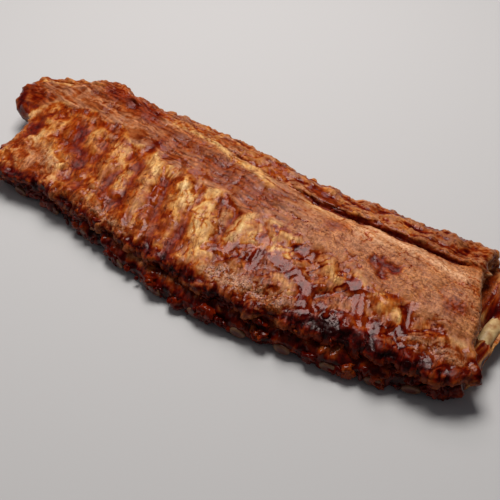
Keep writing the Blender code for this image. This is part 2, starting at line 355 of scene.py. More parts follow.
def closing(ring, spots):
    """Triangles that close a flat ring, by zipping its two sides together along its longest way.

    The corners are taken in order along that way. Each makes a triangle with the last one taken on its own
    side and the last one taken on the other side.
    """
    along = spots[:, np.ptp(spots, axis=0).argmax()]
    ring, along = np.roll(ring, -along.argmin()), np.roll(along, -along.argmin())
    number, high = len(ring), along.argmax()
    there = np.maximum.accumulate(along[:high + 1])
    back = np.maximum.accumulate(along[:high:-1])[::-1]
    steps = np.arange(number)
    order = np.lexsort((np.where(steps > high, number - steps, steps), np.concatenate([there, back])))[1:]
    near = np.maximum.accumulate(np.where(order <= high, order, 0))
    far = np.minimum.accumulate(np.where(order > high, order, number)) % number
    first = np.where(order <= high, order - 1, order)[1:]
    other = np.where(order <= high, np.roll(far, 1), np.roll(near, 1))[1:]
    return np.stack([ring[first], ring[(first + 1) % number], ring[other]], -1)


def ring_object(name, points, fields):
    """A closed object from one or many grids of rings, their ends capped, with each field as an attribute."""
    rows, columns = points.shape[-3:-1]
    index = np.arange(points.size // 3).reshape(-1, rows, columns)
    following = np.roll(index, -1, axis=2)
    quads = np.stack([index[:, :-1], index[:, 1:], following[:, 1:], following[:, :-1]], -1).reshape(-1, 4)
    spots = points.reshape(-1, 3)
    faces = quads.tolist()
    for first, last in zip(index[:, 0], index[:, -1]):
        faces += closing(first, spots[first]).tolist() + closing(last, spots[last])[:, ::-1].tolist()
    mesh = bpy.data.meshes.new(name)
    mesh.from_pydata((spots * UNIT).tolist(), [], faces)
    for field_name, field in fields.items():
        mesh.attributes.new(field_name, "FLOAT", "POINT").data.foreach_set("value", field.ravel().astype("f"))
    mesh.shade_smooth()
    made = bpy.data.objects.new(name, mesh)
    bpy.context.scene.collection.objects.link(made)
    return made


# What lies where on the meat side, drawn as strokes on the plan in mm: X and Y of both ends, the width, and
# the strength. Crests of meat and fat stand over the ribs, with valleys between them, and sauce has run
# into pools. The tendon and the strip of fat are pale lines along the loin, and three strokes cross in a
# star-shaped dent. Stains are deeper sauce; those under the curled flap at the left end and along the
# lip's front on the right also paint the shade that falls there. The amber, pale and crumbly patches are
# the meat's own.
CRESTS = ((-194, 9, -187, 22, 3.5, 0.9), (-158, 6, -160, -8, 5, 0.8), (-166, -16, -150, -12, 5, 0.7),
          (-150, -12, -130, -30, 6, 0.8), (-168, -30, -150, -36, 5, 0.5), (-143, -32, -122, -42, 4, 0.4),
          (-122, 12, -124, 0, 5, 0.7), (-100, 24, -82, 17, 4, 0.8), (-92, 4, -84, -8, 6, 0.9),
          (-92, -12, -82, -42, 4.5, 0.4), (-74, -14, -69, -26, 4.5, 0.8), (-62, 13, -44, 6, 4.5, 1.0),
          (-58, 10, -55, -9, 6.5, 1.0), (-52, -22, -46, -38, 5.5, 0.6), (-50, -30, -38, -48, 4.5, 0.3),
          (-27, -2, -18, -12, 5, 1.0), (-18, -12, -11, -27, 7, 1.0), (-16, -30, -12, -44, 5, 0.5),
          (-20, 5, -8, 2, 4, 0.5), (-4, 4, 1, -15, 6, 1.0), (1, -15, 18, -50, 6.5, 1.0),
          (21, 0, 14, -30, 5, 0.25), (36, -5, 31, -28, 5, 0.7), (44, -8, 44, -26, 4, 0.4),
          (25, -55, 33, -62, 5, 0.4), (138, -20, 154, -27, 4, 0.75), (56, -21, 70, -20, 4, 0.75),
          (36, -14, 46, -19, 4, 0.8), (124, -12, 134, -17, 4, 0.7), (104, -16, 112, -21, 4, 0.7),
          (80, -44, 92, -48, 4, 0.5), (150, -24, 160, -30, 4, 0.8))
VALLEYS = ((-176, 2, -172, -10, 5, 1.0), (-134, 8, -126, -8, 6, 1.0), (-118, -12, -100, -40, 5, 1.0),
           (-107, 4, -103, -18, 4, 0.8), (-82, 2, -78, -32, 3.5, 0.9), (-68, -2, -63, -42, 4.5, 1.0),
           (-42, -6, -36, -24, 4, 0.7), (-36, -24, -18, -52, 5, 0.8), (-10, -2, -4, -20, 2.2, 0.5),
           (-4, -26, 0, -56, 3.2, 1.2), (10, -4, 8, -22, 2.5, 0.5), (25, -6, 24, -34, 2.5, 0.6),
           (-72, 20, -70, 27, 2.5, 1.0), (127, 3, 143, 4, 3, 0.8), (88, 14, 97, 18, 3, 0.5))
POOLS = ((-166, -26, -158, -34, 4, 0.8), (-136, -20, -128, -26, 3.5, 0.8), (-150, 12, -140, 4, 4, 0.7),
         (-108, -24, -102, -32, 3.5, 0.8), (-70, -22, -66, -34, 3, 0.8), (-41, -14, -37, -26, 3, 0.9),
         (-12, 2, -10, -8, 2.5, 0.8), (-160, 40, -140, 38, 5, 0.7), (-130, 50, -112, 46, 4, 0.6),
         (-102, 25, -90, 27, 6, 1.0), (-57, 18, -40, 17, 3.5, 1.0), (-31, 12, -12, 12, 4, 0.9),
         (-34, 1, -31, -1, 4, 0.9), (-74, 24, -64, 22, 3, 1.0), (-114, -44, -111, -47, 4, 0.8),
         (-80, -49, -76, -51, 4, 0.8), (-47, -51, -43, -54, 4, 0.8), (-31, -44, -28, -56, 4, 0.8),
         (20, -43, 34, -36, 5, 0.9), (34, -36, 47, -27, 5, 0.8), (49, -17, 60, -22, 4, 0.9),
         (56, -24, 60, -42, 5, 1.1), (66, -25, 84, -35, 6, 1.2), (86, -32, 99, -38, 6, 1.2),
         (99, -38, 107, -55, 5, 1.2), (113, -46, 117, -49, 4, 0.9), (124, -21, 140, -41, 6, 1.1),
         (148, -40, 154, -46, 5, 0.9), (165, -18, 168, -38, 5, 1.0), (127, 4, 133, 0, 3, 0.7),
         (20, 50, 30, 43, 6, 1.0), (-214, 22, -200, 20, 5, 1.1), (58, 44, 76, 37, 6, 1.0),
         (-30, 56, -10, 52, 5, 0.7), (180, -40, 190, -46, 5, 0.8), (-205, 22, -198, 26, 6, 0.8),
         (-180, -30, -172, -40, 6, 0.6))
TENDON = ((-75, 52, -50, 49, 2.2, 0.7), (-50, 49, -30, 47, 2.2, 0.9), (-30, 47, -15, 40, 2.4, 1.0),
          (-15, 40, 0, 37, 2.4, 1.0), (0, 37, 12, 36, 2.4, 1.0), (12, 36, 20, 32, 3, 1.0),
          (20, 32, 30, 27, 4, 0.9), (45, -3, 55, -2, 2, 0.7), (55, -2, 62, -8, 2, 0.8),
          (62, -8, 75, -9, 2.2, 0.8))
FAT_STRIP = ((-220, 36, -207, 50, 3, 0.8), (-207, 50, -184, 54, 3.5, 0.8), (-178, 26, -170, 30, 3, 0.6),
             (66, 28, 100, 26, 5, 0.8), (98, 24, 125, 24, 8, 1.1), (125, 25, 155, 23, 5, 1.1),
             (155, 23, 185, 19, 3.5, 1.1), (188, 22, 200, 24, 3, 0.4), (185, -28, 205, -26, 3, 0.7),
             (60, -60, 85, -55, 4, 0.4), (40, -62, 60, -62, 4, 0.4))
SAUCE_STAINS_AND_SHADE = ((-145, 60, -95, 52, 9, 1.1), (-58, -6, -50, -40, 6, 0.3), (-92, 2, -84, -14, 6, 0.2),
          (-22, -30, -14, -46, 6, 0.5), (-56, 8, -40, 4, 6, 0.18), (-124, 10, -124, -4, 5, 0.3),
          (-160, 4, -150, -14, 6, 0.25), (-134, 6, -122, -10, 6, 0.9), (138, -20, 156, -28, 7, 0.15),
          (104, -16, 114, -22, 6, 0.12), (-218, 34, -196, 24, 9, 0.9), (-218, 26, -208, 15, 4.5, 1.6),
          (-208, 15, -202, 17, 4, 1.3), (-9, -26, -1, -56, 3.5, 0.8), (-72, 21, -70, 26, 3, 0.9),
          (-20, 27, 30, 14, 13, 0.5), (-66, 36, -40, 34, 11, 0.4), (84, 16, 98, 18, 5, 0.5),
          (186, -4, 191, -4, 4, 0.9), (115, -54, 205, -46, 8, 0.3), (-126, -4, -122, -8, 5, 1.2),
          (-174, -4, -170, -8, 4, 1.2))
AMBERS = ((60, -10, 80, -16, 7, 0.9), (95, -11, 112, -16, 6, 0.9), (118, -12, 150, -18, 7, 1.0),
          (150, -28, 166, -32, 5, 0.8))
DENTS = ((126, 4, 134, 1, 3.4, 0.9), (134, 2, 143, 4, 2.4, 0.9), (133, 7, 137, -3, 2.4, 0.8))
PALE = ((-176, -18, -150, -42, 11, 0.9), (-150, -30, -128, -44, 9, 0.7), (-186, 20, -192, 8, 4, 0.6))
CRUMBLY = ((-112, -50, -75, -53, 4, 0.7), (-75, -54, -38, -58, 5, 0.9), (42, -57, 62, -61, 9, 1.0),
           (62, -61, 88, -58, 9, 1.0), (-152, -22, -136, -32, 6, 0.5), (176, -38, 212, -38, 6, 0.8),
           (14, -8, 22, -28, 4, 0.5))
# Lobes on the front face, as X and height of both ends, the width, and how far they stand out, all in mm.
FRONT_LOBES = ((112, 20, 148, 17, 6, 5.0), (150, 25, 160, 26, 5, 3.0), (146, 17, 150, 17, 4, 3.0),
               (180, 22, 210, 24, 7, 4.0), (70, 20, 82, 20, 5, 4.0), (20, 18, 34, 16, 5, 3.0),
               (-30, 20, -10, 18, 6, 2.5), (-75, 18, -60, 20, 5, 2.5), (-120, 19, -100, 18, 6, 2.0))
# The greatest depth of sauce, in mm, beyond which the colour no longer changes, and how far up the sauce
# fills the gap between the meat and its own surface.
GLAZE_DEEPEST = 5.0
GLAZE_FILLS = 0.85


def strokes(x, y, marks, widen=1.0):
    """The strongest of some soft strokes: each has its strength on its line, and is a hump across it."""
    best = np.zeros_like(x)
    for x0, y0, x1, y1, width, strength in marks:
        run = np.array([x1 - x0, y1 - y0], float)
        s = np.clip(((x - x0) * run[0] + (y - y0) * run[1]) / (run @ run), 0, 1)
        away = np.hypot(x - x0 - s * run[0], y - y0 - s * run[1])
        best = np.maximum(best, strength * hump(away, width * widen))
    return best


def meat_form():
    """The top layer's smooth form: each ring is a smooth loop through the corners of a slice.

    The slices' ends are drawn along X to the curled flap on the left and to the slanting cut on the right.
    """
    t, shrink = slice_rows(MEAT_SLICES)
    foot, lip, back, seam, share = outlines(t)
    deep = follow(SEAM_DEPTH, t)
    lip_z, loin_z = LIP_HEIGHT * share, LOIN_HEIGHT * share
    inner = np.maximum(foot, lip)
    # The lip hangs down and juts out unevenly along the rack.
    run = np.stack([t * (STOP - START) * 1000, 0 * t, 0 * t], -1)
    hang = np.clip(0.004 + 0.0055 * layered(run / 17, 301, 4, 0.6), 0, 0.011)
    lip = lip + 0.0022 * layered(run / 12, 311, 4, 0.6)
    under_lip = (
        ((inner + 0.016, 0.014 * share - 0.3 * hang, 0), 5),
        ((inner + 0.006, 0.0165 * share - 0.7 * hang, 0.5), 8),
        ((lip + 0.0025, lip_z - 0.0070 - hang, 1), 7),
        ((lip, lip_z - 0.0028 - 0.3 * hang, 1), 10),
    )
    field_and_loin = (
        ((lip + 0.006, lip_z + 0.0010, 1), 22),
        ((lip + 0.024, lip_z + 0.0035, 1), 31),
        ((0.55 * lip + 0.45 * seam, 0.45 * lip_z + 0.55 * loin_z, 1), 27),
        ((seam - 0.024, loin_z - 0.0015, 1), 19),
    )
    seam_groove = (
        ((seam - 0.009, loin_z - 0.15 * deep, 1), 7),
        ((seam - 0.004 + 0.20 * deep, loin_z - 0.55 * deep, 1), 5),
        ((seam - 0.001 + 0.20 * deep, loin_z - 1.15 * deep, 1), 6),
        ((seam + 0.001 - 0.15 * deep, loin_z - 0.50 * deep, 1), 5),
        ((seam + 0.003 - 0.25 * deep, loin_z - 0.08 * deep, 1), 5),
    )
    strip_and_back = (
        ((seam + 0.007, loin_z - 0.0008, 1), 13),
        ((back - 0.007, loin_z - 0.0040, 1), 16),
        ((back - 0.001, 0.55 * loin_z, 1), 7),
        ((back - 0.0005, 0.38 * loin_z, 0.6), 4),
        ((back - 0.007, 0.30 * loin_z, 0), 3),
        ((0.5 * back + 0.5 * foot, 0.016, 0), 3),
    )
    loops = loops_through(under_lip + field_and_loin + seam_groove + strip_and_back, t)
    y, z = drawn_in(loops, t, shrink, core_in=(0.018, 0.022))
    near_left, near_right = near_ends(t)
    x = START + (STOP - START) * t[:, None] - SLICE_SLANT * y
    x = x + near_left * follow(LEFT_FLAP, y) + near_right * follow(RIGHT_CORNERS, y)
    z = z - FLAP_FOLD_DROP * near_left ** 2 * hump(y - FLAP_FOLD_Y, FLAP_FOLD_REACH)

    at = surface(x, y, z, np.clip(loops[..., 2], 0, 1))
    at.up = np.clip(at.out[..., 2], 0, 1)
    at.from_lip, at.from_seam, at.from_back = (at.y - (line[:, None] - CENTRE[1]) * 1000
                                               for line in (lip, seam, back))
    at.seam_open = step_up(0.001, 0.003, deep[:, None])
    at.left_end = step_up(0.05, 0.01, t)[:, None]
    at.right_face = step_up(0.97, 0.9, shrink)[:, None] * (t > 0.5)[:, None]
    # The plan for the strokes is bent a little, so that no feature keeps a drawn shape.
    at.bent = [along + 3.4 * noise(at.mm / 17, seed) + 0.7 * noise(at.mm / 5, seed + 1)
               for along, seed in ((at.x, 11), (at.y, 13))]
    return at


def meat_regions(at):
    """The parts of the meat side and what is drawn on it, each as a share from 0 to about 1."""
    left_half = 1 - step_up(10, 60, at.x)
    edge_y = follow(LOIN_EDGE, at.x) + 3.0 * (2 * at.over_rib - 1)
    field = step_up(-1.2, 1.2, (edge_y - at.bent[1]) * (0.2 + 0.8 * left_half)) * step_up(0.1, 0.5, at.up)
    strip = step_up(-1, 1, at.from_seam)
    crumbly = strokes(*at.bent, CRUMBLY)
    right_lip = step_up(85, 105, at.x) * step_up(186, 172, at.x)
    facing = step_up(0.2, 0.7, -at.out[..., 1] + 0.25 * right_lip)
    pool = np.where(left_half > 0.5, strokes(*at.bent, POOLS, 1.2), strokes(*at.bent, POOLS))
    waver = [0.6 * noise(at.mm / 5, seed) for seed in (12, 14)]
    return SimpleNamespace(
        left_half=left_half, field=field, strip=strip, crumbly=crumbly, right_lip=right_lip,
        facing=facing * step_up(10, 4, at.from_lip) * (1 - 0.8 * crumbly),
        dry=step_up(30, 110, at.x) * (1 - field) * (1 - strip),
        shoulder=left_half * step_up(10, 0, at.y - edge_y) * step_up(0.3, 0.7, at.up),
        crest=strokes(*at.bent, CRESTS, 1.5),
        valley=strokes(*at.bent, VALLEYS, 1.2),
        basin=step_up(0.32, 0.85, pool),
        tendon=strokes(at.x + waver[0], at.y + waver[1], TENDON),
        fat_strip=strokes(at.bent[0], at.y + waver[1], FAT_STRIP) * (1 - strip),
        lip=hump(at.from_lip, 6),
        rim=hump(at.from_back, 9))


def meat_grain(at, part):
    """The patterns in the meat, each about 1 high: fibres, lumps, crumbs, creases, folds, wrinkles, flakes.

    Each is noise at the points' places in mm, divided by the pattern's size in X, Y and Z.
    """
    along_rib = np.stack([at.x + 0.34 * at.y + 2 * noise(at.mm / 14, 6), at.y, at.height], -1)
    along_loin = np.stack([at.x, at.y + 0.17 * at.x + 2.5 * noise(at.mm / 25, 5), at.height], -1)
    across = np.stack([at.x + 0.8 * at.y + 4 * noise(at.mm / 30, 7), at.y - 0.8 * at.x, at.height], -1)
    left, right = part.left_half, 1 - part.left_half
    lumps = layered(at.mm / 14, 41, 3, 0.45)
    unrest = noise(at.mm / 4, 66)
    folds = left * noise(along_rib / (7, 11, 8), 65) + right * noise(across / (24, 10, 12), 68) + 0.3 * unrest
    wrinkles = noise(along_loin / (30, 6, 8), 69) + 0.25 * unrest
    return SimpleNamespace(
        along_rib=along_rib, along_loin=along_loin, lumps=lumps,
        loin_fibre=layered(along_loin / (34, 3.2, 6), 21, 3),
        rib_fibre=layered(along_rib / (2.6, 16, 5), 31, 3),
        crumbs=layered(at.mm / 2.4, 51, 2, 0.7),
        creases=left * creased(along_rib / (14, 20, 14), 61, 3, 0.4)
        + right * creased(across / (34, 15, 20), 62, 3, 0.35) - 0.3,
        folds=hump(folds, 0.085) * step_up(-0.15, 0.25, noise(at.mm / 16, 67)),
        wrinkles=hump(wrinkles, 0.06) * step_up(-0.05, 0.3, noise(at.mm / 20, 70)),
        flakes=creased(along_loin / (14, 3.6, 6), 96, 3) - 0.3,
        layers=layered(at.mm / (14, 14, 2.6) + 0.12 * at.y[..., None], 321, 3),
        dent=strokes(*at.bent, DENTS) * (1 + 0.6 * lumps))


def added_up(forms):
    """The sum of some forms, each given as where it lies, how far it stands out in mm, and its pattern."""
    return sum(where * rise * pattern for where, rise, pattern in forms)


def meat_relief(at, part, grain):
    """How far the meat stands out of its smooth form, in mm. Pools of sauce fill most of it up."""
    loin, ribs, crust = 1 - part.field, part.field, part.dry
    front_lobes = strokes(at.x + 2 * noise(at.mm / 9, 15), at.height + 2 * noise(at.mm / 9, 16), FRONT_LOBES)
    relief = added_up((
        (loin, -0.8, grain.wrinkles),
        (loin, 0.55 - 0.35 * crust, grain.loin_fibre),
        (loin, 1.1 - 0.4 * crust, grain.lumps),
        (loin, -0.7 * crust, grain.flakes),
        (loin, 0.8, part.shoulder),
        (ribs, 0.15, grain.rib_fibre),
        (ribs, 1.4, grain.lumps),
        (ribs, -1.1 * (1 - 0.5 * part.crest), grain.folds),
        (ribs, 2.8 * (1 - 0.7 * part.crest), grain.creases),
        (ribs, 2.6, part.crest),
        (ribs, -1.5, part.valley),
        (ribs, 1.2, part.left_half * (at.over_rib - 0.5)),
        (ribs, -1.0, 1),
        (1, 0.07 + 0.10 * crust, grain.crumbs),
        (1, 0.14, layered(grain.along_rib / (2.2, 4.5, 2.2), 56, 2, 0.7)),
        (1, 0.8, part.tendon),
        (1, -2.0, grain.dent),
        (part.crumbly, 0.9, grain.crumbs),
        (part.crumbly, -0.3, 1),
        (part.facing, 0.5, layered(at.mm / 5, 57, 2)),
        (part.facing, 1, front_lobes),
        (part.lip, 3.6, layered(at.mm / (11, 14, 9), 71, 4, 0.6)),
        (part.lip, -0.3, 1),
        (part.rim, 2.4, layered(at.mm / 13, 73, 4, 0.6)),
        (part.strip, 2.2, layered(at.mm / (19, 12, 12), 76, 4, 0.6)),
        (part.strip, -2.0, creased(grain.along_loin / (26, 9, 9), 78, 3) - 0.3),
    ))
    relief = (relief * (1 - 0.88 * part.basin) - (0.9 - 0.5 * part.left_half) * part.basin) * at.outside
    return relief + added_up((
        (at.left_end * at.outside, 1.6, layered(at.mm / 6, 97, 3)),
        (at.left_end * at.outside, 2.2, creased(at.mm / 9, 98, 3) - 0.3),
        (at.right_face, 1.1, grain.layers),
        (at.right_face, 1.5, grain.lumps),
    ))


def sauce_laid(at, part):
    """How thick the sauce was brushed on, in mm: thin on the loin, patchy on the ribs, and thick in pools."""
    takes = (0.15 + 0.85 * part.field) * (1 - part.dry) * (1 - 0.8 * part.strip * step_up(50, 80, at.x))
    patches = step_up(0.05, 0.55, layered(at.mm / 15, 81, 3, 0.4))
    thick = 0.02 + 0.08 * part.field + 0.7 * patches * takes + 0.45 * part.basin
    return (thick + 0.1 * part.valley - 0.35 * part.crest - 0.25 * part.dry - 0.25 * part.tendon
            + 0.5 * step_up(12, 2, at.from_lip))


def glazed(at, relief, thick, soft=0.35, reach=4):
    """The points with their relief and sauce, and the sauce's depth in mm.

    The sauce's surface is the softened relief, raised by its thickness. Where it is above the meat it shows.
    """
    gap = (soften(relief, reach) + thick - relief) * at.outside
    shown = step_up(-soft, soft, gap)
    points = at.base + at.out * ((relief + gap * shown * GLAZE_FILLS) * at.outside)[..., None] * MM
    return points, np.maximum(gap, 0) * shown


def sauce_run(at, part, grain, relief, sauce):
    """The sauce's depth in mm once it has run, and how wet the surface is.

    It gathers in pits, folds, the seam and dents, and runs down the front, and it stains the valleys. This
    depth shows in the meat's colour, and raises the surface no further. Its darkness is partly painted shade:
    the deep sauce on the front and under the lip, in the seam's cleft, and some of that in pits, folds,
    hollows and valleys darkens the places where shade falls.
    """
    # Sauce caught in pits, hollows and folds darkens them: partly real pooling, partly painted shade in the
    # hollows.
    pits, hollows = (soften(relief, reach) - relief for reach in (2, 9))
    caught_sauce_and_shade = np.clip(pits, 0, 0.8) + np.clip(0.25 * hollows, 0, 0.8)
    sauce = sauce + caught_sauce_and_shade * at.outside * (1 - 0.4 * part.dry)
    sauce += 0.8 * grain.folds * part.field + 0.5 * grain.wrinkles * (1 - part.field) * at.outside
    wet = sauce * (1 - step_up(0.1, 0.5, part.valley)) * (1 - 0.7 * part.facing)
    wet = wet * (1 - 0.6 * step_up(12, 3, at.from_lip)) + part.basin * (1 - 0.5 * step_up(9, 2, at.from_lip))

    # Deep sauce in the seam's cleft darkens it: partly sauce, partly painted shade in the cleft.
    seam_sauce_and_shade = hump(at.from_seam + 0.5, 1.4) * at.seam_open
    # The front and the lip's underside take deep, dark sauce: partly sauce that has run down, partly painted
    # shade under the lip.
    front = np.maximum(part.facing, step_up(0.1, -0.3, at.out[..., 2]) * step_up(20, 14, at.from_lip))
    runs = 1.1 + 0.9 * part.right_lip + 2.4 * layered(at.mm / 11, 88, 3) + 0.7 * hollows
    sauce += 1.6 * seam_sauce_and_shade + 1.9 * grain.dent + front * np.clip(runs, 0.5 + 0.5 * part.right_lip, 4.5)

    # The valleys are darkened with sauce: partly a real stain, partly painted shade between the crests.
    stain_and_shade = 0.04 + 0.08 * part.field + (0.7 + 0.6 * grain.lumps) * strokes(*at.bent, VALLEYS, 1.7)
    stain_and_shade += 0.7 * np.clip(layered(at.mm / 18, 86, 2) + 0.1, 0, 1) * part.field
    stain_and_shade += 0.5 * part.basin * (1 - part.left_half)
    sauce += stain_and_shade * (1 - 0.9 * step_up(0.1, 0.7, part.crest)) * (1 - 0.7 * part.dry)
    sauce *= 1 - 0.6 * part.crumbly
    sauce = sauce / (1 + 0.4 * sauce * part.left_half * (1 - part.facing)) + strokes(*at.bent, SAUCE_STAINS_AND_SHADE)
    films = np.clip(layered(at.mm / 9, 99, 3) + 0.05, 0, 1)
    sauce += 0.5 * films * part.field * part.left_half * (1 - 0.75 * part.crest)
    return np.clip(sauce, 0, GLAZE_DEEPEST), wet


def meat_shades(at, part, grain):
    """Where the meat is creamy with fat, amber, or dry crust, each as a share from 0 to 1."""
    crests = step_up(0.15, 0.95, part.crest * (1 + 0.4 * grain.rib_fibre)) * part.field
    crests *= np.clip(1 + 0.5 * grain.rib_fibre, 0, 1) * step_up(-0.9, -0.2, layered(at.mm / 7, 94, 2))
    patches = 0.7 * part.field * part.left_half * step_up(0.15, 0.5, layered(at.mm / 8, 93, 3))
    fat_strip = part.fat_strip * (0.9 + 0.5 * grain.loin_fibre)
    cream = np.clip(np.maximum.reduce([crests, patches, part.tendon, fat_strip]), 0, 1)
    marbling = 0.8 * step_up(0.15, 0.6, grain.layers)
    cream = np.maximum(cream * (1 - at.right_face), marbling * at.right_face)

    amber = np.maximum(part.field * (1 - 0.7 * step_up(14, 3, at.from_lip)), 0.75 * part.strip)
    glow = 1.2 * layered(grain.along_rib / (11, 16, 11), 91, 2) + 0.35 * part.left_half - 0.15
    amber = np.maximum(amber * step_up(-0.35, 0.5, glow), strokes(*at.bent, AMBERS))

    strip_crust = 0.9 * part.strip * step_up(90, 140, at.x) * step_up(-0.5, 0.1, grain.lumps)
    crust = np.maximum.reduce([part.dry * (1 - 0.7 * at.right_face), strokes(*at.bent, PALE), strip_crust])
    return {"cream": cream, "amber": amber * (1 - crust), "dry": crust}


def meat_fields(sauce, **others):
    """The fields that the glazed meat's paint reads, at each point. One that isn't given is 0 all over."""
    names = ("wet", "cream", "amber", "dry", "rib_field", "crumbly")
    return {"sauce": sauce} | {name: others.get(name, 0) + 0 * sauce for name in names}


def meat_side():
    """The top layer as rings of points, and its fields: the smooth form, its relief, and the sauce on it."""
    at = meat_form()
    part = meat_regions(at)
    grain = meat_grain(at, part)
    relief = meat_relief(at, part, grain)
    points, sauce = glazed(at, relief, sauce_laid(at, part), 0.5, 2)
    ripple = 0.15 * noise(at.mm / 3.4, 58) + (0.18 + 0.2 * part.facing) * noise(at.mm / 2.3, 59)
    points += at.out * (ripple * at.outside * (1 - 0.8 * part.basin))[..., None] * MM
    sauce, wet = sauce_run(at, part, grain, relief, sauce)
    shades = meat_shades(at, part, grain)
    wet = wet * (1 - 0.5 * shades["dry"])
    return points, meat_fields(sauce, wet=wet, rib_field=part.field, crumbly=part.crumbly, **shades)


class Paint:
    """A material in the making, with short ways to add the nodes that it needs."""

    def __init__(self, name):
        self.material = bpy.data.materials.new(name)
        self.material.use_nodes = True
        self.tree = self.material.node_tree
        self.shader = self.tree.nodes["Principled BSDF"]
        self.place = self.node("ShaderNodeTexCoord").outputs["Object"]

    def give(self, socket, value):
        """Feed a socket with another node's output, or set it to a number, a vector or a colour."""
        if isinstance(value, bpy.types.NodeSocket):
            self.tree.links.new(value, socket)
        else:
            socket.default_value = (*value, 1) if socket.type == "RGBA" else value

    def node(self, kind, inputs=None, **settings):
        """A shader node with its settings and with what goes into its inputs."""
        made = self.tree.nodes.new(kind)
        for key, value in settings.items():
            setattr(made, key, value)
        for key, value in (inputs or {}).items():
            self.give(made.inputs[key], value)
        return made

    def field(self, name):
        """One of the fields that the piece's points carry."""
        return self.node("ShaderNodeAttribute", attribute_name=name).outputs["Fac"]

    def blend(self, share, first, second, mode="MIX"):
        """The first colour where the share is 0, and the second, or both multiplied, where it is 1."""
        inputs = {0: share, 6: first, 7: second}
        return self.node("ShaderNodeMix", inputs, data_type="RGBA", blend_type=mode).outputs[2]

    def speckle(self, scale, detail, place=None):
        """Noise at the piece's own places, or at places that are given."""
        inputs = {"Vector": self.place if place is None else place, "Scale": scale, "Detail": detail}
        return self.node("ShaderNodeTexNoise", inputs).outputs["Fac"]

    def ranged(self, value, low, high, to_low=0.0, to_high=1.0):
        """A value spread out so that low becomes to_low and high becomes to_high, and kept between them."""
        inputs = {"Value": value, "From Min": low, "From Max": high, "To Min": to_low, "To Max": to_high}
        return self.node("ShaderNodeMapRange", inputs).outputs["Result"]

    def finished(self, inputs):
        """The material, once its shader's own sockets are fed."""
        for name, value in inputs.items():
            self.give(self.shader.inputs[name], value)
        return self.material


# The meat's colours, each a darker and a lighter shade, and the single ones that lie over them in bands,
# patches, grooves and grit.
LEAN = ((0.345, 0.103, 0.036), (0.615, 0.250, 0.102))
LEAN_BAND = (0.64, 0.300, 0.152)
LEAN_GROOVE = (0.12, 0.022, 0.005)
CRUST = ((0.53, 0.190, 0.060), (0.75, 0.322, 0.118))
CRUST_PATCH = (0.60, 0.258, 0.118)
CRUST_ROAST = (0.33, 0.100, 0.032)
CRUST_GROOVE = (0.15, 0.036, 0.010)
CRUST_GRIT = (0.16, 0.042, 0.012)
AMBER = ((0.48, 0.15, 0.022), (0.70, 0.30, 0.062))
AMBER_GROOVE = (0.22, 0.045, 0.006)
FAT = ((0.91, 0.54, 0.19), (1.0, 0.77, 0.37))
FAT_GROOVE = (0.42, 0.14, 0.03)
FAT_GRIT = (0.34, 0.10, 0.02)
PALE_FAT = ((0.66, 0.31, 0.15), (0.90, 0.56, 0.33))
CRUMB = ((0.09, 0.030, 0.018), (0.62, 0.36, 0.25))
# What the meat's colour is multiplied by in fine lines, which paint the shade in thin creases, and by the
# darker and lighter sinews and flecks.
CREASE_SHADE_TINT = (0.46, 0.26, 0.17)
SINEW_TINTS = ((0.58, 0.43, 0.34), (1.12, 1.12, 1.12))
FLECK_TINTS = ((0.87, 0.82, 0.78), (1.09, 1.08, 1.07))
# The glints are weak and a little warm.
GLINT = 0.15
GLINT_TINT = (1.0, 0.78, 0.74)
# How strongly 1 mm of sauce blocks red, green and blue, and the shares of the greatest depth at which the
# colour that it lets through is worked out.
GLAZE_BLOCKS = (0.70, 1.85, 3.3)
GLAZE_STOPS = (0.024, 0.05, 0.09, 0.14, 0.2, 0.3, 0.42, 0.6, 0.95)
# The patterns are turned by these angles, in radians, to run along the loin and along the ribs, and a swirl
# sways them by this distance.
LOIN_TURN = 0.17
RIB_TURN = -0.36
RIB_GRAIN_TURN = -0.33
SWAY = 0.012


